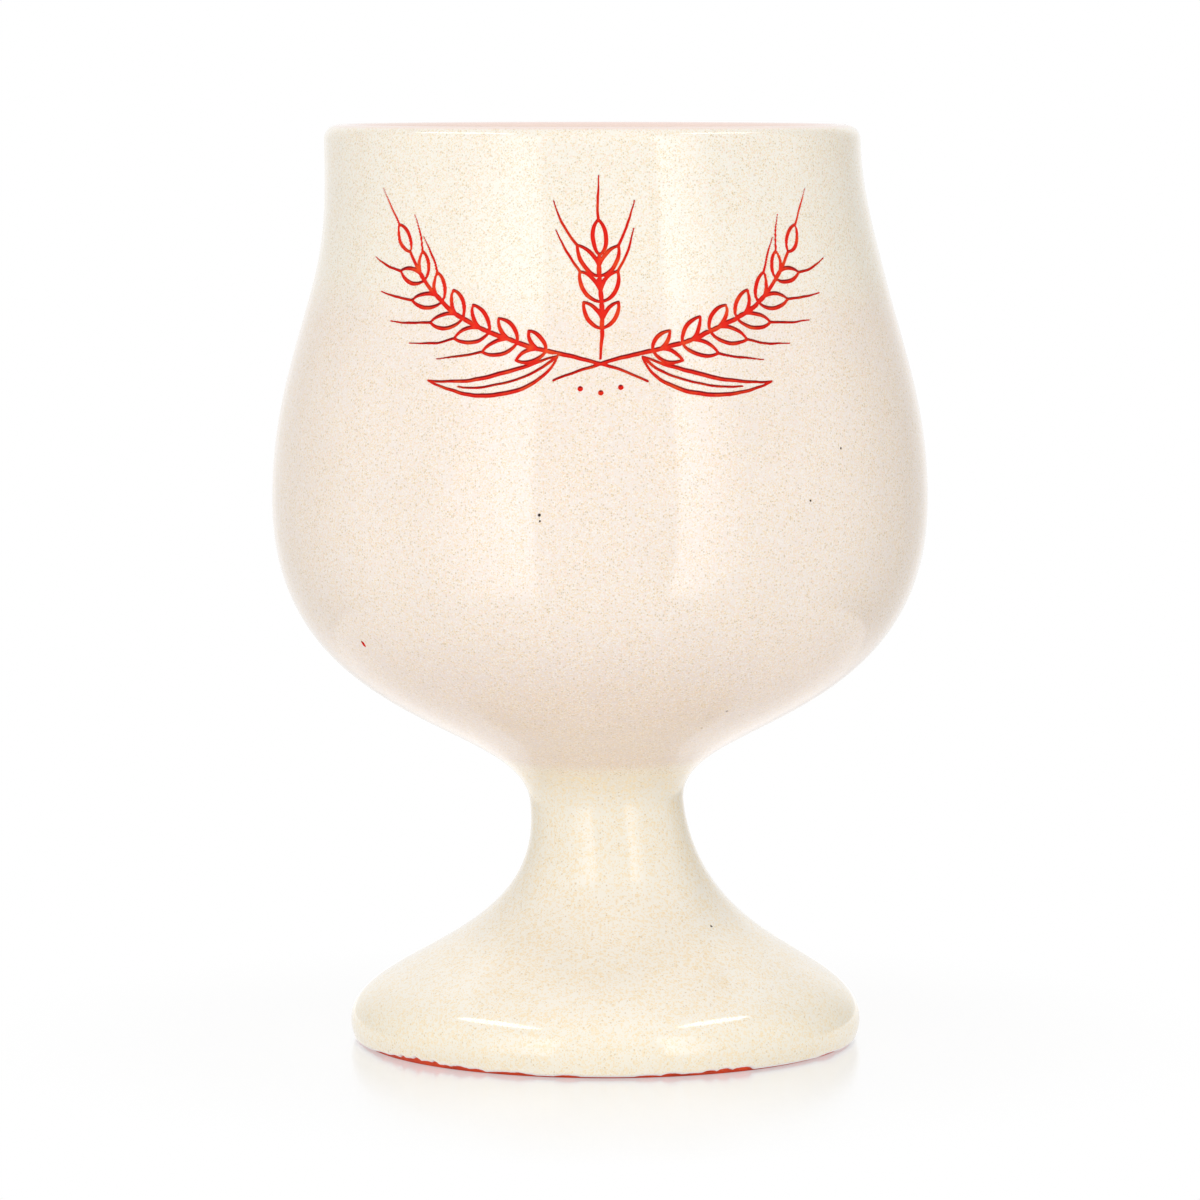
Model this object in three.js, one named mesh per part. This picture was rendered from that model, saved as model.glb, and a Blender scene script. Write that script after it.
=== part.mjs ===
// A hand-thrown beer goblet in red earthenware: a full, round bowl luted with slip to a flared, hollow
// pedestal, under a pale glaze that stops just short of the table.
// Millimetres, +Z up. The origin is on the table, under the middle of the bowl.

import * as THREE from "three";

// Outside of the clay: the radius and height of each place where the wall stands upright
const footRadius = 39.9; // widest part of the foot
const footEdgeHeight = 3.2;
const waistRadius = 11.6; // narrowest part of the stem
const waistHeight = 37.9;
const bellyRadius = 51.2; // widest part of the bowl
const bellyHeight = 85.8;
const lipRadius = 41.6;
const rimHeight = 144.4; // crest of the clay lip

// How far each upright stretch carries on before the curve turns, as a share of the rise to the next place
const flareFullness = { lower: 0.29, upper: 0.68 };
const undersideFullness = { lower: 0.3, upper: 0.75 };
const shoulderFullness = { lower: 0.4, upper: 0.425 };

// Clay thickness
const wallThickness = 4.6;
const lipThickness = 3.6;
const floorThickness = 7.8; // over the joint
const cupFullness = { side: 0.6, floor: 0.6 }; // roundness of the cup's inside corner

// Foot
const edgeTuck = 1; // how far the foot draws in below its widest part
const bearingWidth = 8; // ring that stands on the table
const hollowHeight = 20; // crown of the hollow under the pedestal
const hollowFullness = { side: 0.35, crown: 0.45 };

// Slip joint between pedestal and bowl
const jointRise = 5; // underside of the slip above the waist
const slipThickness = 1;
const scoreDepth = 0.6; // rings scratched into both faces, so that the slip keys
const scoreRings = 2;
const scoreMargin = 2.5; // plain rim outside the outermost ring

// Glaze
const glazeThickness = 0.6;
const glazeLineHeight = 0.8; // bare clay shows below this

// Hand-thrown lean: how far the round sections stray sideways, along X
const footLean = 0.85;
const stemLean = 2.1;
const rimLean = -1.25;
const stemLeanPlace = 0.6; // share of the way up from the foot's edge to the waist
const bowlLeanEnd = 0.3; // share of the way up from the waist to the belly
const rimLeanStart = 0.6; // share of the way up from the belly to the rim

// Facets
const turnSegments = 40;
const flareSteps = 8;
const neckSteps = 2;
const undersideSteps = 8;
const shoulderSteps = 6;
const lipSteps = 2; // each side of the crest
const cupSteps = 7;
const edgeSteps = 2;
const hollowSteps = 6;

const slipBottom = waistHeight + jointRise;
const slipTop = slipBottom + slipThickness;
const lipHeight = rimHeight - lipThickness / 2;
const floorHeight = slipTop + floorThickness;

// Wall curves, in the half plane of radius and height

function uprightSweep(low, high, fullness) {
  const rise = high.y - low.y;
  return new THREE.CubicBezierCurve(
    low,
    new THREE.Vector2(low.x, low.y + fullness.lower * rise),
    new THREE.Vector2(high.x, high.y - fullness.upper * rise),
    high,
  );
}

const footEdge = new THREE.Vector2(footRadius, footEdgeHeight);
const waist = new THREE.Vector2(waistRadius, waistHeight);
const belly = new THREE.Vector2(bellyRadius, bellyHeight);
const lip = new THREE.Vector2(lipRadius, lipHeight);
const innerLip = new THREE.Vector2(lipRadius - lipThickness, lipHeight);
const innerBelly = new THREE.Vector2(bellyRadius - wallThickness, bellyHeight);
const bearingEdge = new THREE.Vector2(footRadius - edgeTuck, 0);
const hollowEdge = new THREE.Vector2(bearingEdge.x - bearingWidth, 0);

const flare = uprightSweep(footEdge, waist, flareFullness);
const underside = uprightSweep(waist, belly, undersideFullness);
const shoulder = uprightSweep(belly, lip, shoulderFullness);
const innerShoulder = uprightSweep(innerBelly, innerLip, shoulderFullness);

// Foot's lower edge, upright where it meets the flare
const tuckedEdge = new THREE.QuadraticBezierCurve(
  bearingEdge,
  new THREE.Vector2(footRadius, footEdgeHeight / 2),
  footEdge,
);

// Inside of the cup, level on the axis and upright at the belly
const cup = new THREE.CubicBezierCurve(
  new THREE.Vector2(0, floorHeight),
  new THREE.Vector2(innerBelly.x * cupFullness.floor, floorHeight),
  new THREE.Vector2(innerBelly.x, bellyHeight - cupFullness.side * (bellyHeight - floorHeight)),
  innerBelly,
);

// Hollow under the pedestal, level at its crown
const hollow = new THREE.CubicBezierCurve(
  new THREE.Vector2(0, hollowHeight),
  new THREE.Vector2(hollowEdge.x * hollowFullness.crown, hollowHeight),
  new THREE.Vector2(hollowEdge.x, hollowHeight * hollowFullness.side),
  hollowEdge,
);

// A stretch of wall as clay points, each with the glaze point that covers it.
// side is 1 where the glaze lies to the right of the curve's direction, and -1 to its left.
function wallStretch(curve, steps, { from = 0, to = 1, side = 1 } = {}) {
  return Array.from({ length: steps + 1 }, (_, i) => {
    const t = THREE.MathUtils.lerp(from, to, i / steps);
    const clay = curve.getPoint(t);
    const along = curve.getTangent(t);
    const glaze = new THREE.Vector2(along.y, -along.x).multiplyScalar(side * glazeThickness).add(clay);
    return { clay, glaze };
  });
}

// Place on a rising curve, from 0 to 1, where it reaches a height
function placeAtHeight(curve, height) {
  let low = 0;
  let high = 1;
  for (let halving = 0; halving < 50; halving++) {
    const middle = (low + high) / 2;
    if (curve.getPoint(middle).y < height) low = middle;
    else high = middle;
  }
  return low;
}

// Stretches that meet share their end point, so each later one drops its first
function joined(...stretches) {
  return stretches.flatMap((stretch, i) => (i === 0 ? stretch : stretch.slice(1)));
}

const clayOf = (stretch) => stretch.map((point) => point.clay);
const glazeOf = (stretch) => stretch.map((point) => point.glaze);
const reversed = (points) => [...points].reverse();

const slipBottomPlace = placeAtHeight(underside, slipBottom);
const slipTopPlace = placeAtHeight(underside, slipTop);
const glazeLinePlace = placeAtHeight(tuckedEdge, glazeLineHeight);
const lipRound = new THREE.EllipseCurve(
  (lip.x + innerLip.x) / 2,
  lipHeight,
  lipThickness / 2,
  lipThickness / 2,
  0,
  Math.PI,
);

const bareEdge = wallStretch(tuckedEdge, 1, { to: glazeLinePlace });
const glazedEdge = wallStretch(tuckedEdge, edgeSteps, { from: glazeLinePlace });
const pedestalWall = joined(
  wallStretch(flare, flareSteps),
  wallStretch(underside, neckSteps, { to: slipBottomPlace }),
);
const slipWall = wallStretch(underside, 1, { from: slipBottomPlace, to: slipTopPlace });
const bowlWall = joined(
  wallStretch(underside, undersideSteps, { from: slipTopPlace }),
  wallStretch(shoulder, shoulderSteps),
);
const outerLip = wallStretch(lipRound, lipSteps, { to: 0.5 });
const innerLipRound = wallStretch(lipRound, lipSteps, { from: 0.5 });
const innerWall = joined(
  wallStretch(cup, cupSteps, { side: -1 }),
  wallStretch(innerShoulder, shoulderSteps, { side: -1 }),
);

// Rings scratched into a joint face, from the axis outwards. direction is 1 for scores that rise from the
// face's height and -1 for scores that sink.
function scoredFace(height, outerRadius, direction) {
  const pitch = (outerRadius - scoreMargin) / scoreRings;
  const points = [new THREE.Vector2(0, height)];
  for (let ring = 0; ring < scoreRings; ring++) {
    points.push(new THREE.Vector2((ring + 0.25) * pitch, height));
    points.push(new THREE.Vector2((ring + 0.5) * pitch, height + direction * scoreDepth));
    points.push(new THREE.Vector2((ring + 0.75) * pitch, height));
  }
  return points;
}

const pedestalFace = scoredFace(slipBottom, slipWall[0].clay.x, -1);
const bowlFace = scoredFace(slipTop, slipWall.at(-1).clay.x, 1);

// Sideways lean at a height: level below the foot's edge, eased from place to place above it
const leanPlaces = [
  { height: footEdgeHeight, lean: footLean },
  { height: THREE.MathUtils.lerp(footEdgeHeight, waistHeight, stemLeanPlace), lean: stemLean },
  { height: THREE.MathUtils.lerp(waistHeight, bellyHeight, bowlLeanEnd), lean: 0 },
  { height: THREE.MathUtils.lerp(bellyHeight, rimHeight, rimLeanStart), lean: 0 },
  { height: rimHeight, lean: rimLean },
];

function leanAt(height) {
  let lean = leanPlaces[0].lean;
  for (let i = 1; i < leanPlaces.length; i++) {
    const [below, above] = [leanPlaces[i - 1], leanPlaces[i]];
    lean += (above.lean - below.lean) * THREE.MathUtils.smoothstep(height, below.height, above.height);
  }
  return lean;
}

// A turned piece: its profile goes up the outside, so that the faces point out
function turned(name, profile, material) {
  const geometry = new THREE.LatheGeometry(profile, turnSegments).rotateX(Math.PI / 2);
  const position = geometry.getAttribute("position");
  for (let i = 0; i < position.count; i++) {
    position.setX(i, position.getX(i) + leanAt(position.getZ(i)));
  }
  geometry.computeVertexNormals();
  const mesh = new THREE.Mesh(geometry, material);
  mesh.name = name;
  return mesh;
}

// A coat of glaze: up its outer side and back down the clay that it covers
function coat(stretch) {
  return [...glazeOf(stretch), ...reversed(clayOf(stretch)), stretch[0].glaze];
}

function fired(color, roughness) {
  return new THREE.MeshStandardMaterial({ color, roughness, metalness: 0 });
}

const redClay = fired(0xb5391f, 0.75);
const redSlip = fired(0xa8432c, 0.85);
const bowlGlaze = fired(0xf3e4d4, 0.15);
const linerGlaze = fired(0xf5ead9, 0.12);
const pedestalGlaze = fired(0xf3e7cf, 0.15);

const pedestalProfile = [
  ...clayOf(wallStretch(hollow, hollowSteps)),
  ...clayOf(joined(bareEdge, glazedEdge, pedestalWall)),
  ...reversed(pedestalFace),
];
const slipProfile = [...pedestalFace, ...clayOf(slipWall), ...reversed(bowlFace)];
const bowlProfile = [
  ...bowlFace,
  ...clayOf(joined(bowlWall, outerLip, innerLipRound)),
  ...reversed(clayOf(innerWall)).slice(1),
];
const linerProfile = [
  ...clayOf(joined(innerWall, reversed(innerLipRound))),
  ...reversed(glazeOf(joined(innerWall, reversed(innerLipRound)))),
];

const goblet = new THREE.Group();
goblet.name = "goblet";

const pedestalGroup = new THREE.Group();
pedestalGroup.add(
  turned("pedestal", pedestalProfile, redClay),
  turned("slip_joint", slipProfile, redSlip),
  turned("pedestal_glaze", coat(joined(glazedEdge, pedestalWall, slipWall)), pedestalGlaze),
);

const bowlGroup = new THREE.Group();
bowlGroup.add(
  turned("bowl", bowlProfile, redClay),
  turned("bowl_glaze", coat(joined(bowlWall, outerLip)), bowlGlaze),
  turned("liner_glaze", linerProfile, linerGlaze),
);

goblet.add(pedestalGroup, bowlGroup);

export default goblet;
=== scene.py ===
import math
from bisect import bisect_right

import bmesh
import bpy
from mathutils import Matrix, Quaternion, Vector, geometry, kdtree, noise


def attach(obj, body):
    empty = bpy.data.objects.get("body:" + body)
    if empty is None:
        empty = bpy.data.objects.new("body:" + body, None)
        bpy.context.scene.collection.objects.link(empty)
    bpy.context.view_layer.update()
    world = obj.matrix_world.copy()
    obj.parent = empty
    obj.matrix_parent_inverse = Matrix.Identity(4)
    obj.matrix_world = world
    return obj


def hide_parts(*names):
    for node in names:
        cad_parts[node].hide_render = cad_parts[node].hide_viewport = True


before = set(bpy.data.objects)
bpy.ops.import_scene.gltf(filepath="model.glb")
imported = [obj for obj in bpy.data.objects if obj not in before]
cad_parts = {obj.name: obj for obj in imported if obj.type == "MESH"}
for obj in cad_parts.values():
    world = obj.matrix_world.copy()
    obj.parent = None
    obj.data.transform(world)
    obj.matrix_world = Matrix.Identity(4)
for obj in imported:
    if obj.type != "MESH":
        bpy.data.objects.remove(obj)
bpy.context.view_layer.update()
print("frame loaded:", len(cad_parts), "nodes")

mm = 0.001  # sizes below are written in millimetres


# camera at the photograph's angle: a long lens a little above the rim, looking slightly down

view = {
    "distance": 917.6,  # in front of the bowl's axis
    "height": 154.2,
    "lookDown": 5.25,  # degrees
    "lens": 174.5,
}


def addCamera():
    data = bpy.data.cameras.new("camera")
    data.lens = view["lens"]
    data.sensor_width = 36
    camera = bpy.data.objects.new("camera", data)
    camera.location = (0, -view["distance"] * mm, view["height"] * mm)
    camera.rotation_euler = (math.radians(90 - view["lookDown"]), 0, 0)
    bpy.context.scene.collection.objects.link(camera)
    bpy.context.scene.camera = camera


addCamera()
print("camera set")


# colours and nodes

def hexColour(code, alpha=1.0):
    channels = [int(code[i:i + 2], 16) / 255 for i in (1, 3, 5)]
    return [c / 12.92 if c <= 0.04045 else ((c + 0.055) / 1.055) ** 2.4 for c in channels] + [alpha]


def addNode(tree, kind, sockets=None, **settings):
    node = tree.nodes.new(kind)
    for name, value in settings.items():
        setattr(node, name, value)
    for key, value in (sockets or {}).items():
        if isinstance(value, bpy.types.NodeSocket):
            tree.links.new(value, node.inputs[key])
        else:
            node.inputs[key].default_value = value
    return node


def newMaterial(name):
    material = bpy.data.materials.new(name)
    material.use_nodes = True
    material.node_tree.nodes.clear()
    return material, material.node_tree


# the thrown form, as in the solids: radius and height where the wall stands upright

form = {
    "bearing": (38.9, 0),
    "foot": (39.9, 3.2),
    "waist": (11.6, 37.9),
    "belly": (51.2, 85.8),
    "lip": (41.6, 142.6),
    "flare": (0.29, 0.68),  # how far each upright stretch carries on, as shares of the rise
    "underside": (0.3, 0.75),
    "shoulder": (0.4, 0.425),
    "wall": 4.6,
    "lipThickness": 3.6,
    "cupFloor": 51.7,
    "cupRound": (0.6, 0.6),
    "bearingWidth": 8,
    "hollowHeight": 20,
    "hollowRound": (0.45, 0.35),
    "slipBottom": 42.9,
    "slipTop": 43.9,
    "scores": (2, 2.5, 0.6),  # rings scratched into each joint face, plain margin outside them, depth
    "glaze": 0.6,
    "glazeLine": 0.8,
    "lean": [(3.2, 0.85), (24.02, 2.1), (52.27, 0), (120.96, 0), (144.4, -1.25)],  # height, sideways
}


def curvePoints(corners, steps):
    knots = [Vector((r * mm, 0, z * mm)) for r, z in corners]
    return geometry.interpolate_bezier(*knots, steps + 1)


def sweep(low, high, fullness, steps):
    rise = high[1] - low[1]
    lowHandle = (low[0], low[1] + fullness[0] * rise)
    highHandle = (high[0], high[1] - fullness[1] * rise)
    return curvePoints([low, lowHandle, highHandle, high], steps)


def arcPoints(centre, radius, start, end, steps):
    angles = [math.radians(start + (end - start) * i / steps) for i in range(steps + 1)]
    return [Vector(((centre[0] + radius * math.cos(a)) * mm, 0, (centre[1] + radius * math.sin(a)) * mm))
            for a in angles]


def joined(*stretches):
    points = list(stretches[0])
    for stretch in stretches[1:]:
        points += stretch[1:]
    return points


def wallNormals(points):
    normals = []
    for i in range(len(points)):
        along = points[min(i + 1, len(points) - 1)] - points[max(i - 1, 0)]
        normals.append(Vector((along.z, 0, -along.x)).normalized())
    return normals


def shifted(points, distance):
    return [p + n * distance * mm for p, n in zip(points, wallNormals(points))]


def placeAtHeight(points, height):
    return min(range(len(points)), key=lambda i: abs(points[i].z - height * mm))


def outsideOfClay(density):
    bearing, foot = form["bearing"], form["foot"]
    edgeHandle = (foot[0], foot[1] / 2)
    lowHandle = [b + (e - b) * 2 / 3 for b, e in zip(bearing, edgeHandle)]
    highHandle = [f + (e - f) * 2 / 3 for f, e in zip(foot, edgeHandle)]
    lipRadius = form["lipThickness"] / 2
    lipCentre = (form["lip"][0] - lipRadius, form["lip"][1])
    return joined(
        curvePoints([bearing, lowHandle, highHandle, foot], int(36 * density)),
        sweep(foot, form["waist"], form["flare"], int(72 * density)),
        sweep(form["waist"], form["belly"], form["underside"], int(84 * density)),
        sweep(form["belly"], form["lip"], form["shoulder"], int(60 * density)),
        arcPoints(lipCentre, lipRadius, 0, 90, int(10 * density)),
    )


def insideOfCup(density):
    lipRadius = form["lipThickness"] / 2
    innerLip = (form["lip"][0] - form["lipThickness"], form["lip"][1])
    innerBelly = (form["belly"][0] - form["wall"], form["belly"][1])
    floor = (0, form["cupFloor"])
    floorHandle = (innerBelly[0] * form["cupRound"][0], floor[1])
    sideHandle = (innerBelly[0], innerBelly[1] - form["cupRound"][1] * (innerBelly[1] - floor[1]))
    lipCentre = (innerLip[0] + lipRadius, innerLip[1])
    return joined(
        curvePoints([floor, floorHandle, sideHandle, innerBelly], int(64 * density)),
        sweep(innerBelly, innerLip, form["shoulder"], int(56 * density)),
        arcPoints(lipCentre, lipRadius, 180, 90, int(10 * density)),
    )


def eased(value, low, high):
    share = min(max((value - low) / (high - low), 0), 1)
    return share * share * (3 - 2 * share)


def leanAt(height):
    lean = form["lean"][0][1]
    for (below, a), (above, b) in zip(form["lean"], form["lean"][1:]):
        lean += (b - a) * eased(height, below * mm, above * mm)
    return lean * mm


def spun(profile, steps, closed=False):
    bm = bmesh.new()
    verts = [bm.verts.new(p) for p in profile]
    edges = [bm.edges.new(pair) for pair in zip(verts, verts[1:])]
    if closed:
        edges.append(bm.edges.new((verts[-1], verts[0])))
    bmesh.ops.spin(bm, geom=verts + edges, cent=(0, 0, 0), axis=(0, 0, 1), dvec=(0, 0, 0),
                   angle=math.tau, steps=steps, use_merge=True)
    bmesh.ops.remove_doubles(bm, verts=bm.verts, dist=0.002 * mm)
    bmesh.ops.recalc_face_normals(bm, faces=bm.faces)
    for edge in bm.edges:  # corners stay crisp, and everything else is shaded smooth
        edge.smooth = edge.calc_face_angle(0) < math.radians(60)
    return bm


def leaned(bm):
    for vert in bm.verts:
        vert.co.x += leanAt(vert.co.z)


def addPiece(bm, name, node, material):
    for face in bm.faces:
        face.smooth = True
    mesh = bpy.data.meshes.new(name)
    bm.to_mesh(mesh)
    bm.free()
    mesh.materials.append(material)
    piece = bpy.data.objects.new(name, mesh)
    bpy.context.scene.collection.objects.link(piece)
    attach(piece, "root")
    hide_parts(node)
    mesh.calc_loop_triangles()
    print(name, "made:", len(mesh.loop_triangles), "triangles")
    return piece


# glossy cream glaze over red earthenware: a milky coat full of fine ochre, olive and pale grains, which
# mirrors softly and turns white at grazing angles

glazeLook = {
    "cloud": 14,  # slow drift of tone
    "clump": 3.5,  # grains gather and thin out over this length
    "peel": 1.6,  # ripple that breaks up the reflections
    "peelDepth": 0.0015,
    "ring": 1.1,  # throwing rings
    "grains": [  # colour, spacing, share of the places that hold one, and strength
        ("#eed29a", 0.23, 0.55, 0.7),
        ("#c4ad80", 0.3, 0.14, 0.55),
        ("#fffaf2", 0.26, 0.45, 0.5),
        ("#f6d8c6", 0.42, 0.3, 0.35),
    ],
}


def glazeGrains(tree, tone, grains):
    look = glazeLook
    place = addNode(tree, "ShaderNodeTexCoord").outputs["Object"]
    clump = addNode(tree, "ShaderNodeTexNoise", {
        "Vector": place, "Scale": 1 / (look["clump"] * mm), "Detail": 2})
    gather = addNode(tree, "ShaderNodeMapRange", {
        "Value": clump.outputs["Fac"], "From Min": 0.3, "From Max": 0.7, "To Min": 0.6, "To Max": 1.4})
    colour = tone
    for i, (code, spacing, share, strength) in enumerate(grains):
        apart = addNode(tree, "ShaderNodeVectorMath", {0: place, 1: (0.031 * i, 0.017 * i, 0)})
        cells = addNode(tree, "ShaderNodeTexVoronoi", {
            "Vector": apart.outputs["Vector"], "Scale": 1 / (spacing * mm)})
        draw = addNode(tree, "ShaderNodeSeparateColor", {"Color": cells.outputs["Color"]})
        limit = addNode(tree, "ShaderNodeMath", {0: gather.outputs["Result"], 1: share}, operation="MULTIPLY")
        chosen = addNode(tree, "ShaderNodeMath", {
            0: draw.outputs["Red"], 1: limit.outputs["Value"]}, operation="LESS_THAN")
        dot = addNode(tree, "ShaderNodeMapRange", {
            "Value": cells.outputs["Distance"], "From Min": 0.6, "From Max": 0.3, "To Max": strength})
        amount = addNode(tree, "ShaderNodeMath", {
            0: dot.outputs["Result"], 1: chosen.outputs["Value"]}, operation="MULTIPLY")
        colour = addNode(tree, "ShaderNodeMix", {
            0: amount.outputs["Value"], 6: colour, 7: hexColour(code)}, data_type="RGBA").outputs[2]
    cloud = addNode(tree, "ShaderNodeTexNoise", {
        "Vector": place, "Scale": 1 / (look["cloud"] * mm), "Detail": 3})
    drift = addNode(tree, "ShaderNodeMapRange", {
        "Value": cloud.outputs["Fac"], "From Min": 0.3, "From Max": 0.7, "To Min": 0.985, "To Max": 1.01})
    return addNode(tree, "ShaderNodeMix", {0: 1.0, 6: colour, 7: drift.outputs["Result"]},
                   data_type="RGBA", blend_type="MULTIPLY").outputs[2]


def glazeShader(tree, colour, look):
    # rings run round the axis: noise over radius and height, hardly changing on the way round
    place = addNode(tree, "ShaderNodeTexCoord").outputs["Object"]
    height = addNode(tree, "ShaderNodeSeparateXYZ", {"Vector": place}).outputs["Z"]
    level = addNode(tree, "ShaderNodeVectorMath", {0: place, 1: (1, 1, 0)}, operation="MULTIPLY")
    radius = addNode(tree, "ShaderNodeVectorMath", {0: level.outputs["Vector"]}, operation="LENGTH")
    around = addNode(tree, "ShaderNodeCombineXYZ", {"X": radius.outputs["Value"], "Z": height})
    uneven = addNode(tree, "ShaderNodeVectorMath", {
        0: level.outputs["Vector"], 1: (0.05, 0.05, 0), 2: around.outputs["Vector"]},
        operation="MULTIPLY_ADD")
    rings = addNode(tree, "ShaderNodeTexNoise", {
        "Vector": uneven.outputs["Vector"], "Scale": 1 / (glazeLook["ring"] * mm), "Detail": 2})
    low, high = look["ringHeights"]
    lowDepth, highDepth = look["ringDepths"]
    depth = addNode(tree, "ShaderNodeMapRange", {
        "Value": height, "From Min": low * mm, "From Max": high * mm,
        "To Min": lowDepth / glazeLook["peelDepth"], "To Max": highDepth / glazeLook["peelDepth"]})
    peel = addNode(tree, "ShaderNodeTexNoise", {
        "Vector": place, "Scale": 1 / (glazeLook["peel"] * mm), "Detail": 2})
    waves = addNode(tree, "ShaderNodeMath", {
        0: rings.outputs["Fac"], 1: depth.outputs["Result"], 2: peel.outputs["Fac"]},
        operation="MULTIPLY_ADD")
    ripple = addNode(tree, "ShaderNodeBump", {
        "Height": waves.outputs["Value"], "Strength": 1.0, "Distance": glazeLook["peelDepth"] * mm})
    return addNode(tree, "ShaderNodeBsdfPrincipled", {
        "Base Color": colour, "Roughness": look["roughness"], "IOR": 1.6,
        "Normal": ripple.outputs["Normal"]}).outputs["BSDF"]


def heightMix(tree, below, above, low, high):
    place = addNode(tree, "ShaderNodeTexCoord").outputs["Object"]
    height = addNode(tree, "ShaderNodeSeparateXYZ", {"Vector": place}).outputs["Z"]
    share = addNode(tree, "ShaderNodeMapRange", {
        "Value": height, "From Min": low * mm, "From Max": high * mm}, interpolation_type="SMOOTHSTEP")
    return addNode(tree, "ShaderNodeMix", {
        0: share.outputs["Result"], 6: below, 7: above}, data_type="RGBA").outputs[2]


# pinholes turn dark brown: clay at their floor, darkened with painted shade
def pitted(tree, colour, pitShadeColour):
    pit = addNode(tree, "ShaderNodeAttribute", attribute_name="pit").outputs["Fac"]
    hole = addNode(tree, "ShaderNodeMapRange", {"Value": pit, "From Min": 1.1, "From Max": 0.7})
    return addNode(tree, "ShaderNodeMix", {
        0: hole.outputs["Result"], 6: colour, 7: hexColour(pitShadeColour)}, data_type="RGBA").outputs[2]


bowlGlazeLook = {
    "neck": "#f2e8d7",
    # darker under the bowl: painted shade laid over the glaze's pinkish tone
    "underside": "#e8d8cf",
    "belly": "#f2e6dc",
    "lip": "#f5efe2",
    "rim": "#f4dcd2",  # glaze drawn thin over the red clay on the lip's crest
    # pinhole colour: clay darkened with painted shade
    "pit": "#3a1c16",
    "roughness": 0.07,
    "ringHeights": (56, 70),
    "ringDepths": (0.009, 0.002),
}

# clay laid bare in the scratched lines: scarlet, with orange patches as painted highlight, and painted shade
# in dark violet on the groove wall that faces down
scratchLook = {
    "red": "#ea2009",
    # painted highlight: orange mixed into the lines at random places
    "orange": "#f25a24",
    # painted shade: the dark violet for groove walls that face down
    "scorched": "#4f1220",
    "mottle": 2.2,
    "roughness": 0.5,
}


def bowlGlazeMaterial():
    look = bowlGlazeLook
    material, tree = newMaterial("cream_glaze_scratched_through")
    # the underside tone, from the neck up to the belly, carries painted shade
    tone = heightMix(tree, hexColour(look["neck"]), hexColour(look["underside"]), 43.9, 46.1)
    tone = heightMix(tree, tone, hexColour(look["belly"]), 54, 76)
    tone = heightMix(tree, tone, hexColour(look["lip"]), 114, 124)
    speckled = glazeGrains(tree, tone, glazeLook["grains"])
    colour = heightMix(tree, speckled, hexColour(look["rim"]), 144.4, 145.0)
    coat = glazeShader(tree, pitted(tree, colour, look["pit"]), look)
    line, inside = scratchShader(tree)
    both = addNode(tree, "ShaderNodeMixShader", {0: inside, 1: coat, 2: line})
    addNode(tree, "ShaderNodeOutputMaterial", {"Surface": both.outputs["Shader"]})
    return material


def scratchShader(tree):
    look = scratchLook
    place = addNode(tree, "ShaderNodeTexCoord").outputs["Object"]
    scratch = addNode(tree, "ShaderNodeAttribute", attribute_name="scratch").outputs["Fac"]
    mottle = addNode(tree, "ShaderNodeTexNoise", {
        "Vector": place, "Scale": 1 / (look["mottle"] * mm), "Detail": 3})
    # orange patches at random stand in for highlights on the lines: painted highlight
    orangeHighlightShare = addNode(tree, "ShaderNodeMapRange", {
        "Value": mottle.outputs["Fac"], "From Min": 0.48, "From Max": 0.68, "To Max": 0.75})
    red = addNode(tree, "ShaderNodeMix", {
        0: orangeHighlightShare.outputs["Result"], 6: hexColour(look["red"]), 7: hexColour(look["orange"])},
        data_type="RGBA")
    # painted shade: groove walls whose normal points down are darkened to the dark violet
    facing = addNode(tree, "ShaderNodeNewGeometry").outputs["Normal"]
    upward = addNode(tree, "ShaderNodeSeparateXYZ", {"Vector": facing}).outputs["Z"]
    downFacingShade = addNode(tree, "ShaderNodeMapRange", {
        "Value": upward, "From Min": -0.2, "From Max": -0.55, "To Max": 0.85})
    colour = addNode(tree, "ShaderNodeMix", {
        0: downFacingShade.outputs["Result"], 6: red.outputs[2], 7: hexColour(look["scorched"])}, data_type="RGBA")
    shader = addNode(tree, "ShaderNodeBsdfPrincipled", {
        "Base Color": colour.outputs[2], "Roughness": look["roughness"], "IOR": 1.5,
        "Specular IOR Level": 0.2})
    inside = addNode(tree, "ShaderNodeMapRange", {"Value": scratch, "From Min": 1.08, "From Max": 0.92})
    return shader.outputs["BSDF"], inside.outputs["Result"]


# the pedestal's glaze is yellower than the bowl's, and set paler partly as painted light that lifts the shade
# under the bowl
pedestalGlazeLook = {
    "stem": "#f9f3e4",
    # painted light: the palest band, lifting the shade the bowl casts on the flare
    "flare": "#fdf8ec",
    "foot": "#f9f2e1",
    "bead": "#f3ecef",  # a roll of glaze along its lower edge, coloured pale lilac as painted reflection of the white table
    "beadHeight": 0.5,
    "grains": [  # yellower than on the bowl
        ("#f6d998", 0.25, 0.5, 0.6),
        ("#d3b57e", 0.32, 0.05, 0.5),
        ("#fffaf2", 0.28, 0.4, 0.4),
        ("#f9e2b2", 0.65, 0.4, 0.45),
    ],
    # pinhole colour: clay darkened with painted shade
    "pit": "#3a1c16",
    "roughness": 0.07,
    "ringHeights": (10, 40),
    "ringDepths": (0.001, 0.005),
}


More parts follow.
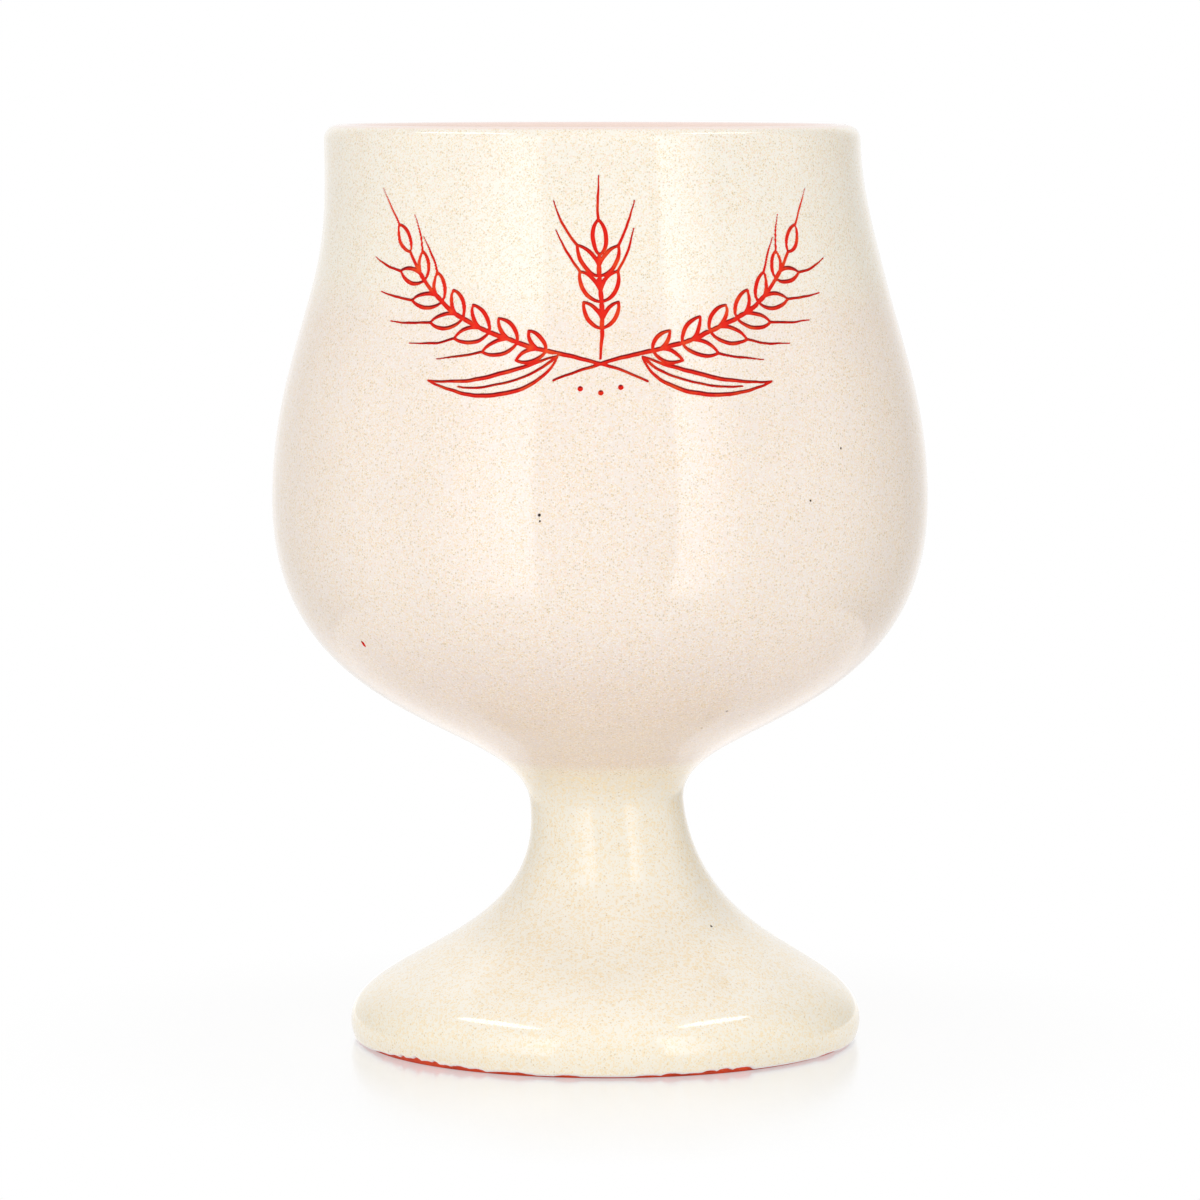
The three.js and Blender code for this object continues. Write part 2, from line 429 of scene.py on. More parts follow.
def pedestalGlazeMaterial():
    look = pedestalGlazeLook
    material, tree = newMaterial("cream_glaze_dipped")
    # the flare band is painted light against the bowl's shade
    tone = heightMix(tree, hexColour(look["foot"]), hexColour(look["flare"]), 5, 12)
    tone = heightMix(tree, tone, hexColour(look["stem"]), 20, 32)
    tone = heightMix(tree, tone, hexColour(bowlGlazeLook["neck"]), 36, 43.5)
    aboveEdge = addNode(tree, "ShaderNodeAttribute", attribute_name="aboveEdge").outputs["Fac"]
    # painted reflection of the white table along the glaze's lower edge
    beadReflectionShare = addNode(tree, "ShaderNodeMapRange", {
        "Value": aboveEdge, "From Min": look["beadHeight"], "From Max": 0.1, "To Max": 0.85})
    speckled = glazeGrains(tree, tone, look["grains"])
    beaded = addNode(tree, "ShaderNodeMix", {
        0: beadReflectionShare.outputs["Result"], 6: speckled, 7: hexColour(look["bead"])}, data_type="RGBA")
    coat = glazeShader(tree, pitted(tree, beaded.outputs[2], look["pit"]), look)
    addNode(tree, "ShaderNodeOutputMaterial", {"Surface": coat})
    return material


linerGlazeLook = {
    "tone": "#f5ebdb",
    "floor": "#f1e4d2",
    "rim": "#f4dcd2",
    "roughness": 0.07,
    "ringHeights": (52, 90),
    "ringDepths": (0.006, 0.003),
}


def linerGlazeMaterial():
    look = linerGlazeLook
    material, tree = newMaterial("cream_glaze_poured")
    tone = heightMix(tree, hexColour(look["floor"]), hexColour(look["tone"]), 52, 80)
    speckled = glazeGrains(tree, tone, glazeLook["grains"])
    colour = heightMix(tree, speckled, hexColour(look["rim"]), 142.5, 145.0)
    addNode(tree, "ShaderNodeOutputMaterial", {"Surface": glazeShader(tree, colour, look)})
    return material


# bare fired red earthenware: dry and matt, brick red with darker scorched clouds and pale grog

clayLook = {
    "red": "#ee4c1a",
    "scorched": "#cc3a10",
    "grog": "#dd7f5c",
    "cloud": 3,
    "grit": 0.7,
    "gritDepth": 0.04,
    "roughness": 0.72,
}


def redClayMaterial(name, look):
    material, tree = newMaterial(name)
    place = addNode(tree, "ShaderNodeTexCoord").outputs["Object"]
    cloud = addNode(tree, "ShaderNodeTexNoise", {
        "Vector": place, "Scale": 1 / (look["cloud"] * mm), "Detail": 5, "Roughness": 0.65})
    cloudShare = addNode(tree, "ShaderNodeMapRange", {
        "Value": cloud.outputs["Fac"], "From Min": 0.35, "From Max": 0.65})
    fired = addNode(tree, "ShaderNodeMix", {
        0: cloudShare.outputs["Result"], 6: hexColour(look["scorched"]), 7: hexColour(look["red"])},
        data_type="RGBA")
    grit = addNode(tree, "ShaderNodeTexVoronoi", {"Vector": place, "Scale": 1 / (look["grit"] * mm)})
    grogShare = addNode(tree, "ShaderNodeMapRange", {
        "Value": grit.outputs["Distance"], "From Min": 0.2, "From Max": 0.08, "To Max": 0.6})
    colour = addNode(tree, "ShaderNodeMix", {
        0: grogShare.outputs["Result"], 6: fired.outputs[2], 7: hexColour(look["grog"])}, data_type="RGBA")
    tooth = addNode(tree, "ShaderNodeBump", {
        "Height": grit.outputs["Distance"], "Strength": 0.6, "Distance": look["gritDepth"] * mm})
    rough = addNode(tree, "ShaderNodeMapRange", {
        "Value": cloud.outputs["Fac"], "To Min": look["roughness"] - 0.1, "To Max": look["roughness"] + 0.1})
    shader = addNode(tree, "ShaderNodeBsdfPrincipled", {
        "Base Color": colour.outputs[2], "Roughness": rough.outputs["Result"], "IOR": 1.5,
        "Normal": tooth.outputs["Normal"]})
    addNode(tree, "ShaderNodeOutputMaterial", {"Surface": shader.outputs["BSDF"]})
    return material


# fired slip: the same clay let down with water, finer and a little duller

slipLook = {
    "red": "#a8432c",
    "scorched": "#8f3522",
    "grog": "#b9654b",
    "cloud": 3,
    "grit": 0.4,
    "gritDepth": 0.02,
    "roughness": 0.8,
}

bowlGlaze = bowlGlazeMaterial()
pedestalGlaze = pedestalGlazeMaterial()
linerGlaze = linerGlazeMaterial()
redClay = redClayMaterial("red_earthenware_fired", clayLook)
redSlip = redClayMaterial("red_slip_fired", slipLook)
print("materials made")


# incised ornament: three ears of barley with two leaves, drawn in millimetres across and up from its middle

ornament = {
    "height": 121.5,  # of its middle on the bowl
    "sideStem": [(-6.5, -14.2), (4.5, -8.6), (22, -10), (32, 4.5)],
    "sideEar": (0.37, 6),  # share of the stem below the ear, and pairs of grains
    "middleStem": [(0, -11), (0.5, -6), (-0.3, 0), (0, 4.6)],
    "middleEar": (0.3, 3),
    "stemWidth": (0.4, 0.78, 0.55),
    "grain": (5.6, 2.35),  # length and breadth
    "grainSpread": 34,  # degrees from the stem
    "grainWidth": (0.46, 0.66, 0.46),
    "awn": 7.5,
    "awnWidth": (0.46, 0.4, 0.22),
    "leaf": [(6, -10.6), (10, -14.6), (17, -16.6), (25, -14.6)],
    "leafBreadth": 3.0,
    "dots": [(-2.7, -15.3), (0, -16), (2.7, -15.3)],
    "dotSize": 0.42,
    "tremor": 0.16,  # unsteadiness of the hand
    "seed": 7,  # the same tremor each run
    "depth": 0.4,
    "lipRise": 0.04,  # glaze drawn up along each line
}

# pinholes and a nick seen in the glaze: degrees round from the front, height, radius
pinholes = [(-10.1, 87.3, 0.26), (-10.0, 86.4, 0.16), (38.0, 88.7, 0.2), (45.8, 96.3, 0.2),
            (33.6, 55.4, 0.22), (31.3, 52.4, 0.18), (48.3, 19.8, 0.26)]
nick = {"azimuth": -52.0, "height": 65.7, "length": 0.35, "width": 0.72}
pitDepth = 0.3


def strokeAlong(corners, widths, spacing=0.05):
    knots = [Vector((*corner, 0)) for corner in corners]
    length = sum((b - a).length for a, b in zip(knots, knots[1:]))
    count = max(8, int(length / spacing))
    start, middle, end = widths
    stroke = []
    for i, point in enumerate(geometry.interpolate_bezier(*knots, count)):
        t = i / (count - 1)
        width = start + (middle - start) * eased(t, 0, 0.4) + (end - middle) * eased(t, 0.6, 1)
        stroke.append((point.x, point.y, width / 2))
    return stroke


def turned(direction, degrees):
    a = math.radians(degrees)
    return Vector((direction.x * math.cos(a) - direction.y * math.sin(a),
                   direction.x * math.sin(a) + direction.y * math.cos(a)))


def placeOn(stroke, share):
    i = min(int(share * (len(stroke) - 1)), len(stroke) - 2)
    here, ahead = Vector(stroke[i][:2]), Vector(stroke[i + 1][:2])
    return here, (ahead - here).normalized()


def grainStrokes(base, direction, size, awnBend):
    length, breadth = (value * size for value in ornament["grain"])
    side = Vector((-direction.y, direction.x)) * breadth * 0.64
    tip = base + direction * length
    strokes = [strokeAlong([base, base + direction * length * 0.2 + side * hand,
                            base + direction * length * 0.75 + side * hand, tip], ornament["grainWidth"])
               for hand in (1, -1)]
    if awnBend is not None:
        reach = ornament["awn"] * size
        middle = tip + direction * reach * 0.45
        end = tip + turned(direction, awnBend) * reach
        strokes.append(strokeAlong([tip, tip + direction * reach * 0.25, middle, end], ornament["awnWidth"]))
    return strokes


def earStrokes(corners, start, pairs, outer):
    stem = strokeAlong(corners, ornament["stemWidth"])
    strokes = [stem]
    for pair in range(pairs):
        base, direction = placeOn(stem, start + (1 - start) * pair / pairs)
        size = (0.8, 0.95, 1, 1, 0.95, 0.9)[pair]
        for hand in (1, -1):
            isOuter = hand in outer
            hasAwn = pair >= pairs - 2 or isOuter and pair > 0
            strokes += grainStrokes(base, turned(direction, hand * ornament["grainSpread"]),
                                    size * (1 if isOuter else 0.86), -8 * hand if hasAwn else None)
    base, direction = placeOn(stem, 1)
    return strokes + grainStrokes(base, direction, 0.9, 0)


def leafStrokes(corners, breadth):
    rib = strokeAlong(corners, (0.5, 0.4, 0.2))
    strokes = []
    for hand in (1, -1):
        edge = []
        for i, (u, v, _) in enumerate(rib):
            t = i / (len(rib) - 1)
            _, direction = placeOn(rib, t)
            out = hand * breadth / 2 * math.sin(math.pi * t ** 0.8)
            width = 0.3 + 0.42 * math.sin(math.pi * t)
            edge.append((u - direction.y * out, v + direction.x * out, width / 2))
        strokes.append(edge)
    return strokes + [rib[:int(len(rib) * 0.8)]]


def ornamentStrokes():
    noise.seed_set(ornament["seed"])
    sprig = earStrokes(ornament["sideStem"], *ornament["sideEar"], outer=(-1,))
    sprig += leafStrokes(ornament["leaf"], ornament["leafBreadth"])
    strokes = list(sprig)
    strokes += [[(-u, v, w) for u, v, w in stroke] for stroke in sprig]
    strokes += earStrokes(ornament["middleStem"], *ornament["middleEar"], outer=(1, -1))
    strokes += [[(u, v, ornament["dotSize"])] for u, v in ornament["dots"]]
    shaken = []
    for stroke in strokes:
        line = []
        for u, v, w in stroke:
            drift = noise.noise_vector(Vector((u, v, 0)) * 0.17) * ornament["tremor"] * 2
            shift = noise.noise_vector(Vector((u, v, 7)) * 0.6) * ornament["tremor"] * 0.5
            line.append((u + drift.x + shift.x, v + drift.y + shift.y, w))
        shaken.append(line)
    return shaken


# where the outside of the glaze lies, read at any height

fineClay = outsideOfClay(12)
fineGlaze = shifted(fineClay, form["glaze"])
glazeHeights = [p.z for p in fineGlaze]
clayHeights = [p.z for p in fineClay]


def radiusAt(heights, points, height):
    i = min(max(bisect_right(heights, height), 1), len(heights) - 1)
    low, high = points[i - 1], points[i]
    share = (height - low.z) / max(high.z - low.z, 1e-12)
    return low.x + (high.x - low.x) * min(max(share, 0), 1)


def onGlaze(azimuth, height):
    radius = radiusAt(glazeHeights, fineGlaze, height)
    return Vector((leanAt(height) + radius * math.sin(azimuth), -radius * math.cos(azimuth), height))


def strokesOnBowl():
    middle = ornament["height"] * mm
    reference = radiusAt(glazeHeights, fineGlaze, middle)
    marks = []
    for stroke in ornamentStrokes():
        for u, v, halfWidth in stroke:
            marks.append((onGlaze(u * mm / reference, middle + v * mm), halfWidth * mm))
    return marks


def nickMarks():
    heights = [nick["height"] + nick["length"] * (i / 9 - 0.5) for i in range(10)]
    return [(onGlaze(math.radians(nick["azimuth"]), z * mm), nick["width"] / 2 * mm) for z in heights]


def pitMarks(low, high):
    return [(onGlaze(math.radians(a), z * mm), r * mm) for a, z, r in pinholes if low <= z < high]


def treeOf(marks):
    tree = kdtree.KDTree(len(marks))
    for i, (point, _) in enumerate(marks):
        tree.insert(point, i)
    tree.balance()
    return tree


def facesOutward(face):
    centre = face.calc_center_median()
    return face.normal.x * (centre.x - leanAt(centre.z)) + face.normal.y * centre.y > 0


def refineNear(bm, marks, band, levels):
    tree = treeOf(marks)
    for level in range(levels):
        edges = set()
        for face in bm.faces:
            if not facesOutward(face):
                continue
            centre = face.calc_center_median()
            _, i, distance = tree.find(centre)
            if distance < marks[i][1] + band * mm + face.calc_perimeter() / 4:
                edges.update(face.edges)
        bmesh.ops.subdivide_edges(bm, edges=list(edges), cuts=1, use_grid_fill=True)
        bm.normal_update()


def settleOnGlaze(bm, low, high):
    # vertices added by subdividing go back onto the true round surface
    for vert in bm.verts:
        if not low * mm < vert.co.z < high * mm:
            continue
        across, along = vert.co.x - leanAt(vert.co.z), vert.co.y
        radius = math.hypot(across, along)
        clayRadius = radiusAt(clayHeights, fineClay, vert.co.z)
        if radius > clayRadius + 0.5 * form["glaze"] * mm:
            vert.co = onGlaze(math.atan2(across, -along), vert.co.z)
    bm.normal_update()


def cutMarks(bm, marks, layerName, depth, lipRise):
    tree = treeOf(marks)
    layer = bm.verts.layers.float.new(layerName)
    moves = []
    for vert in bm.verts:
        vert[layer] = 4
        _, i, distance = tree.find(vert.co)
        across = distance / marks[i][1]
        clayRadius = radiusAt(clayHeights, fineClay, vert.co.z)
        radius = math.hypot(vert.co.x - leanAt(vert.co.z), vert.co.y)
        if across > 4 or radius < clayRadius + 0.5 * form["glaze"] * mm:
            continue
        vert[layer] = across
        sunk = depth * (1 - eased(across, 0.55, 1.05))
        raised = lipRise * eased(across, 0.95, 1.25) * (1 - eased(across, 1.25, 2.2))
        moves.append((vert, (raised - sunk) * mm))
    offsets = [(vert, vert.normal * amount) for vert, amount in moves]
    for vert, offset in offsets:
        vert.co += offset


# bowl: red clay inside two coats of glaze

bowlValues = {
    "turns": 200,
    "clayTurns": 96,
    "band": 0.28,  # finer mesh this far round each line
    "levels": 3,
    "pitBand": 0.05,
    "pitLevels": 2,  # finer still round pinholes and nick
}

clayWall = outsideOfClay(1)
glazeWall = shifted(clayWall, form["glaze"])
cupWall = insideOfCup(1)
cupGlaze = shifted(cupWall, -form["glaze"])
cupGlaze[0].x = 0
jointPlace = placeAtHeight(clayWall, form["slipTop"])
slipPlace = placeAtHeight(clayWall, form["slipBottom"])


def thinned(points, step):
    return points[:-1:step] + points[-1:]


def makeBowlGlaze():
    outer = glazeWall[jointPlace:]
    inner = thinned(clayWall[jointPlace:], 4)
    bm = spun(outer + inner[::-1], bowlValues["turns"], closed=True)
    leaned(bm)
    strokes = strokesOnBowl() + nickMarks()
    pits = pitMarks(form["slipTop"], form["lip"][1])
    refineNear(bm, strokes + pits, bowlValues["band"], bowlValues["levels"])
    refineNear(bm, nickMarks() + pits, bowlValues["pitBand"], bowlValues["pitLevels"])
    settleOnGlaze(bm, form["slipTop"] + 1, form["lip"][1] - 0.5)
    cutMarks(bm, strokes, "scratch", ornament["depth"], ornament["lipRise"])
    cutMarks(bm, pits, "pit", pitDepth, 0)
    return addPiece(bm, "bowl_glaze_coat", "bowl_glaze", bowlGlaze)


def makeLinerGlaze():
    bm = spun(thinned(cupWall, 4) + cupGlaze[::-1], bowlValues["turns"])
    leaned(bm)
    return addPiece(bm, "liner_glaze_coat", "liner_glaze", linerGlaze)


def scoredFace(height, outerRadius, direction):
    rings, margin, deep = form["scores"]
    pitch = (outerRadius / mm - margin) / rings
    points = [(0, height)]
    for ring in range(rings):
        points += [((ring + 0.25) * pitch, height), ((ring + 0.5) * pitch, height + direction * deep),
                   ((ring + 0.75) * pitch, height)]
    return [Vector((r * mm, 0, z * mm)) for r, z in points]


bowlFace = scoredFace(clayWall[jointPlace].z / mm, clayWall[jointPlace].x, 1)
pedestalFace = scoredFace(clayWall[slipPlace].z / mm, clayWall[slipPlace].x, -1)


def makeBowlClay():
    bm = spun(bowlFace + thinned(clayWall[jointPlace:], 2) + thinned(cupWall, 2)[-2::-1],
              bowlValues["clayTurns"])
    leaned(bm)
    return addPiece(bm, "bowl_clay", "bowl", redClay)


makeBowlGlaze()
makeLinerGlaze()
makeBowlClay()


# pedestal: hollow red clay, glazed to a ragged line just above the table

pedestalValues = {
    "turns": 224,
    "clayTurns": 160,
    "edgeCuts": 5,  # finer round the foot, where the glaze ends unevenly
    "edgeZone": 2.2,
    "bead": 1.0,  # the glaze rounds off over this height
    "beadSwell": 0.1,
    "cornerRound": 0.25,
}

# bare clay along the foot: usual height of the line, and flakes as degrees round, half width and height
bareEdge = {
    "line": 0.3,
    "waver": 0.05,
    "flakes": [(-48, 21, 0.42), (-61, 4, 0.4), (-55.5, 3.2, 0.55), (-52.2, 1.7, 0.75), (-49, 3.5, 0.6),
               (-47.2, 2.2, 0.9), (-44, 4, 0.6), (-41.3, 1.4, 0.8), (-38.5, 2.5, 0.45), (-34.8, 3.2, 0.5),
               (-30, 2.2, 0.4), (-21.6, 6, 0.28), (-19.5, 2, 0.34), (-8.5, 3, 0.22), (9.5, 3, 0.2),
               (15, 2.6, 0.4), (22, 9, 0.24), (23.8, 2.2, 0.5), (27.6, 2.4, 0.66), (32, 3.2, 0.58),
               (62, 5, 0.2), (95, 4, 0.45), (99.5, 2.4, 0.66), (104, 4, 0.4), (131, 6, 0.3),
               (158, 2.6, 0.5), (163, 4, 0.36),
               (-171, 5, 0.25), (-148, 4, 0.5), (-143.5, 2.6, 0.74), (-138, 5, 0.4), (-112, 4, 0.25),
               (-88, 4, 0.34), (-84, 2.4, 0.2)],
}


def edgeHeightAt(azimuth):
    degrees = math.degrees(azimuth)
    around = Vector((math.sin(azimuth), math.cos(azimuth), 0)) * form["foot"][0]
    flake = 0
    for middle, half, tall in bareEdge["flakes"]:
        away = abs((degrees - middle + 180) % 360 - 180) / half
        if away < 1:
            flake = max(flake, tall * (1 - away * away) ** 0.7)
    ragged = noise.noise(around / 0.9) + 0.6 * noise.noise(around / 0.4)
    height = bareEdge["line"] + bareEdge["waver"] * noise.noise(around / 4) + flake * (1 + 0.22 * ragged)
    return max(height, 0.1) * mm


def makePedestalGlaze():
    start = placeAtHeight(clayWall, form["glazeLine"])
    clayPart = clayWall[start:jointPlace + 1]
    normals = wallNormals(clayWall)[start:jointPlace + 1]
    outer = []
    for point, normal in zip(clayPart, normals):
        risen = min((point - clayPart[0]).length / (pedestalValues["bead"] * mm), 1)
        thickness = form["glaze"] * math.sqrt(1 - (1 - risen) ** 2)
        if point.z < form["foot"][1] * mm:
            thickness += pedestalValues["beadSwell"] * math.sin(math.pi * risen) ** 2
        outer.append(point + normal * thickness * mm)
    outer[-1] = glazeWall[jointPlace].copy()
    inner = thinned(clayPart[1:], 3)
    bm = spun(outer + inner[::-1], pedestalValues["turns"], closed=True)
    raggedEdge(bm)
    leaned(bm)
    pits = pitMarks(0, form["slipTop"])
    refineNear(bm, pits, bowlValues["pitBand"], bowlValues["levels"] + bowlValues["pitLevels"])
    settleOnGlaze(bm, 15, form["slipTop"] - 1)
    cutMarks(bm, pits, "pit", pitDepth, 0)
    return addPiece(bm, "pedestal_glaze_coat", "pedestal_glaze", pedestalGlaze)


def raggedEdge(bm):
    zone = pedestalValues["edgeZone"] * mm
    rings = [e for e in bm.edges
             if max(v.co.z for v in e.verts) < zone and abs(e.verts[0].co.z - e.verts[1].co.z) < 0.001 * mm]
    bmesh.ops.subdivide_edges(bm, edges=rings, cuts=pedestalValues["edgeCuts"])
    layer = bm.verts.layers.float.new("aboveEdge")
    start = clayWall[placeAtHeight(clayWall, form["glazeLine"])].z
    for vert in bm.verts:
        azimuth = math.atan2(vert.co.x, -vert.co.y)
        oldHeight = vert.co.z
        proud = math.hypot(vert.co.x, vert.co.y) - radiusAt(clayHeights, fineClay, oldHeight)
        vert[layer] = 10
        if oldHeight > zone:
            continue
        edge = edgeHeightAt(azimuth)
        newHeight = oldHeight + (edge - start) * (1 - eased(oldHeight, start, zone))
        vert[layer] = (newHeight - edge) / mm
        radius = radiusAt(clayHeights, fineClay, newHeight) + proud
        vert.co = Vector((radius * math.sin(azimuth), -radius * math.cos(azimuth), newHeight))


def makePedestalClay():
    bearingIn = form["bearing"][0] - form["bearingWidth"]
    crown, side = form["hollowRound"]
    hollow = curvePoints([(0, form["hollowHeight"]), (bearingIn * crown, form["hollowHeight"]),
                          (bearingIn, form["hollowHeight"] * side), (bearingIn, 0)], 40)
    soft = pedestalValues["cornerRound"]
    innerCorner = arcPoints((bearingIn + soft, soft), soft, 180, 270, 5)
    outerCorner = arcPoints((form["bearing"][0] - soft, soft), soft, 270, 345, 5)
    hollow = [p for p in hollow if p.z > soft * mm]
    outside = [p for p in thinned(clayWall[:slipPlace + 1], 2) if p.z > soft * mm]
    bm = spun(hollow + innerCorner + outerCorner + outside + pedestalFace[::-1], pedestalValues["clayTurns"])
    leaned(bm)
    return addPiece(bm, "pedestal_clay", "pedestal", redClay)


def makeSlip():
    bm = spun(pedestalFace + clayWall[slipPlace:jointPlace + 1] + bowlFace[::-1], bowlValues["clayTurns"])
    leaned(bm)
    return addPiece(bm, "slip_layer", "slip_joint", redSlip)


makePedestalGlaze()
makePedestalClay()
makeSlip()


# white studio: a small polished white table in a white tent, between two tall windows and under two strips.
# Behind the goblet the table shines, which the underside of the bowl mirrors.

studio = {
    "tableRadius": 150,
    "tentLight": 0.75,  # the tent as the goblet's matt surfaces see it
    "sideDark": (0.45, 0.7),  # the tent's left and right sides, as the glaze mirrors them
    "shadow": 0.16,  # how much of the goblet's shade the table shows, fading outwards
    "shadowNear": 45,
    "shadowFar": 110,
    "mirror": 0.45,  # the table mirrors the foot, and less further out
    "mirrorNear": 38,
    "mirrorFar": 110,
}

# place, aim, width and height in mm, and radiance over the tent's. A window dims towards one side edge
# (0 or 1) and its lower edge, and the glow all round.
lamps = {
    "windowLeft": {"at": (-874, -962, 100), "aim": (0, 0, 100), "size": (930, 2700), "radiance": 1.25,
                   "dimEdge": 0},
    "windowRight": {"at": (822, -1007, 100), "aim": (0, 0, 100), "size": (590, 2700), "radiance": 1.5,
                    "dimEdge": 1},
    "stripLeft": {"at": (-520, -36, 939), "aim": (-17, -36, 8), "size": (630, 112), "radiance": 5.2,
                  "turn": 30, "shape": "ELLIPSE"},
    "stripRight": {"at": (520, -36, 939), "aim": (17, -36, 8), "size": (540, 98), "radiance": 5.2,
                   "turn": -30, "shape": "ELLIPSE"},
    "glowBehind": {"at": (0, 105, 0.3), "aim": (0, 105, 100), "size": (330, 180), "radiance": 0.4,
                   "shape": "ELLIPSE", "mirrorOnly": True},
}
windowFade = {"side": 0.75, "bottom": 0.235}  # shares of the width and height over which a window dims


def tableMaterial():
    material, tree = newMaterial("polished_white_acrylic")
    path = addNode(tree, "ShaderNodeLightPath")
    place = addNode(tree, "ShaderNodeTexCoord").outputs["Object"]
    away = addNode(tree, "ShaderNodeVectorMath", {0: place}, operation="LENGTH").outputs["Value"]
    matt = addNode(tree, "ShaderNodeBsdfDiffuse", {"Color": hexColour("#f7f7f7")})
    white = addNode(tree, "ShaderNodeEmission", {"Color": hexColour("#ffffff"), "Strength": 1.0})
    shade = addNode(tree, "ShaderNodeMapRange", {
        "Value": away, "From Min": studio["shadowNear"] * mm, "From Max": studio["shadowFar"] * mm,
        "To Min": studio["shadow"], "To Max": 0.0}, interpolation_type="SMOOTHSTEP")
    shaded = addNode(tree, "ShaderNodeMixShader", {
        0: shade.outputs["Result"], 1: white.outputs["Emission"], 2: matt.outputs["BSDF"]})
    mirrored = addNode(tree, "ShaderNodeMath", {
        0: path.outputs["Is Glossy Ray"], 1: path.outputs["Is Transmission Ray"]}, operation="MAXIMUM")
    seen = addNode(tree, "ShaderNodeMath", {
        0: mirrored.outputs["Value"], 1: path.outputs["Is Camera Ray"]}, operation="MAXIMUM")
    bright = addNode(tree, "ShaderNodeMixShader", {
        0: seen.outputs["Value"], 1: matt.outputs["BSDF"], 2: shaded.outputs["Shader"]})
    polish = addNode(tree, "ShaderNodeMapRange", {
        "Value": away, "From Min": studio["mirrorNear"] * mm, "From Max": studio["mirrorFar"] * mm,
        "To Min": studio["mirror"], "To Max": 0.0})
    mirrorShare = addNode(tree, "ShaderNodeMath", {
        0: polish.outputs["Result"], 1: path.outputs["Is Camera Ray"]}, operation="MULTIPLY")
    mirror = addNode(tree, "ShaderNodeBsdfGlossy", {"Color": hexColour("#ffffff"), "Roughness": 0.18})
    polished = addNode(tree, "ShaderNodeMixShader", {
        0: mirrorShare.outputs["Value"], 1: bright.outputs["Shader"], 2: mirror.outputs["BSDF"]})
    addNode(tree, "ShaderNodeOutputMaterial", {"Surface": polished.outputs["Shader"]})
    return material


def addTable():
    bm = bmesh.new()
    bmesh.ops.create_circle(bm, cap_ends=True, segments=96, radius=studio["tableRadius"] * mm)
    bmesh.ops.translate(bm, verts=bm.verts, vec=(0, 0, -0.05 * mm))  # just clear of the foot's ring
    mesh = bpy.data.meshes.new("table")
    bm.to_mesh(mesh)
    bm.free()
    mesh.materials.append(tableMaterial())
    table = bpy.data.objects.new("table", mesh)
    bpy.context.scene.collection.objects.link(table)


def addTent():
    world = bpy.data.worlds.new("tent")
    bpy.context.scene.world = world
    world.use_nodes = True
    tree = world.node_tree
    tree.nodes.clear()
    path = addNode(tree, "ShaderNodeLightPath")
    toward = addNode(tree, "ShaderNodeTexCoord").outputs["Generated"]
    spot = addNode(tree, "ShaderNodeSeparateXYZ", {"Vector": toward})
    left, right = (addNode(tree, "ShaderNodeMapRange", {
        "Value": spot.outputs["X"], "From Min": side * 0.3, "From Max": side * 0.68, "To Max": dark})
        for side, dark in zip((-1, 1), studio["sideDark"]))
    sides = addNode(tree, "ShaderNodeMath", {
        0: left.outputs["Result"], 1: right.outputs["Result"]}, operation="ADD")
    beside = addNode(tree, "ShaderNodeMapRange", {
        "Value": spot.outputs["Y"], "From Min": 0.0, "From Max": 0.45, "To Max": sides.outputs["Value"]})
    mirrored = addNode(tree, "ShaderNodeMath", {0: 1.0, 1: beside.outputs["Result"]}, operation="SUBTRACT")
    bounced = addNode(tree, "ShaderNodeMath", {
        0: path.outputs["Is Glossy Ray"], 1: path.outputs["Is Transmission Ray"]}, operation="MAXIMUM")
    lit = addNode(tree, "ShaderNodeMix", {
        0: bounced.outputs["Value"], 2: studio["tentLight"], 3: mirrored.outputs["Value"]})
    seen = addNode(tree, "ShaderNodeMix", {0: path.outputs["Is Camera Ray"], 2: lit.outputs[0], 3: 1.0})
    white = addNode(tree, "ShaderNodeBackground", {
        "Color": hexColour("#ffffff"), "Strength": seen.outputs[0]})
    addNode(tree, "ShaderNodeOutputWorld", {"Surface": white.outputs["Background"]})


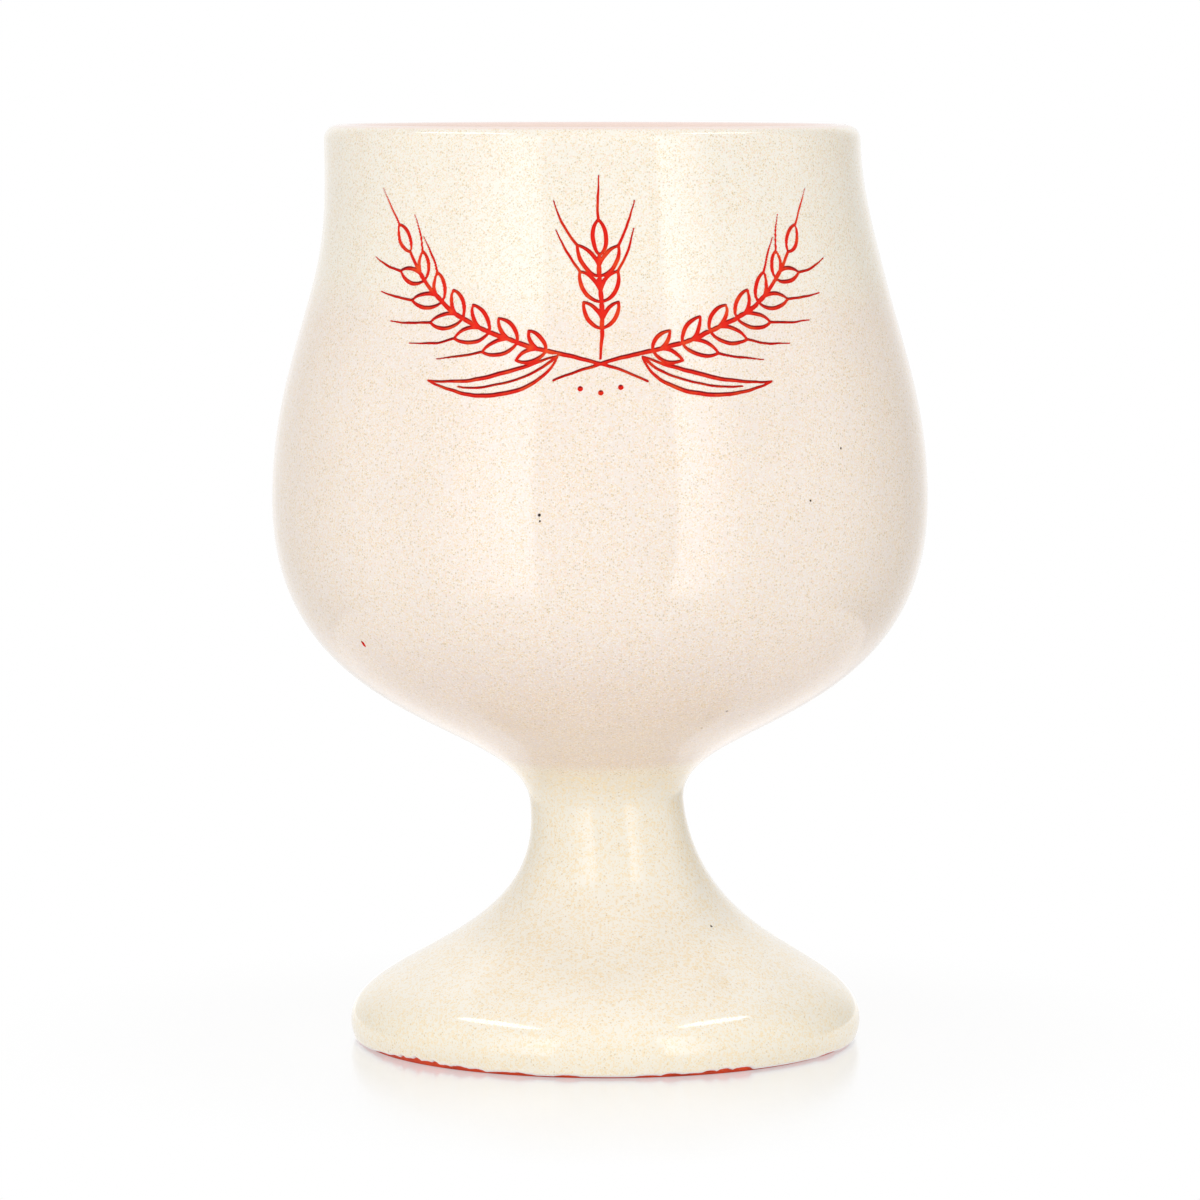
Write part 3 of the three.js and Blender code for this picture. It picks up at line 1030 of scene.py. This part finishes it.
def windowShare(tree, spot, dimEdge):
    place = addNode(tree, "ShaderNodeSeparateXYZ", {"Vector": spot})
    across = addNode(tree, "ShaderNodeMapRange", {
        "Value": place.outputs["X"], "From Min": dimEdge, "From Max": abs(dimEdge - windowFade["side"])})
    up = addNode(tree, "ShaderNodeMapRange", {
        "Value": place.outputs["Y"], "From Min": 0.0, "From Max": windowFade["bottom"]})
    return addNode(tree, "ShaderNodeMath", {
        0: across.outputs["Result"], 1: up.outputs["Result"]}, operation="MULTIPLY").outputs["Value"]


def discShare(tree, spot):
    away = addNode(tree, "ShaderNodeVectorMath", {0: spot, 1: (0.5, 0.5, 0)}, operation="DISTANCE")
    return addNode(tree, "ShaderNodeMapRange", {
        "Value": away.outputs["Value"], "From Min": 0.5, "From Max": 0.0}).outputs["Result"]


def dimTowardsEdges(data, lamp):
    data.use_nodes = True
    tree = data.node_tree
    tree.nodes.clear()
    spot = addNode(tree, "ShaderNodeNewGeometry").outputs["Parametric"]
    share = windowShare(tree, spot, lamp["dimEdge"]) if "dimEdge" in lamp else discShare(tree, spot)
    glow = addNode(tree, "ShaderNodeEmission", {"Strength": share})
    addNode(tree, "ShaderNodeOutputLight", {"Surface": glow.outputs["Emission"]})


def addLamp(name, lamp):
    data = bpy.data.lights.new(name, "AREA")
    data.shape = lamp.get("shape", "RECTANGLE")
    data.size, data.size_y = (side * mm for side in lamp["size"])
    filled = math.pi / 4 if data.shape == "ELLIPSE" else 1
    data.energy = lamp["radiance"] * math.pi * data.size * data.size_y * filled
    if "dimEdge" in lamp or "mirrorOnly" in lamp:
        dimTowardsEdges(data, lamp)
    place = Vector(lamp["at"]) * mm
    light = bpy.data.objects.new(name, data)
    light.location = place
    light.visible_diffuse = not lamp.get("mirrorOnly", False)
    aimed = (Vector(lamp["aim"]) * mm - place).to_track_quat("-Z", "Y")
    turn = Quaternion((0, 0, 1), math.radians(lamp.get("turn", 0)))
    light.rotation_euler = (aimed @ turn).to_euler()
    bpy.context.scene.collection.objects.link(light)


addTable()
addTent()
for lampName, lampValues in lamps.items():
    addLamp(lampName, lampValues)
bpy.context.scene.view_settings.view_transform = "Standard"
print("studio lit")
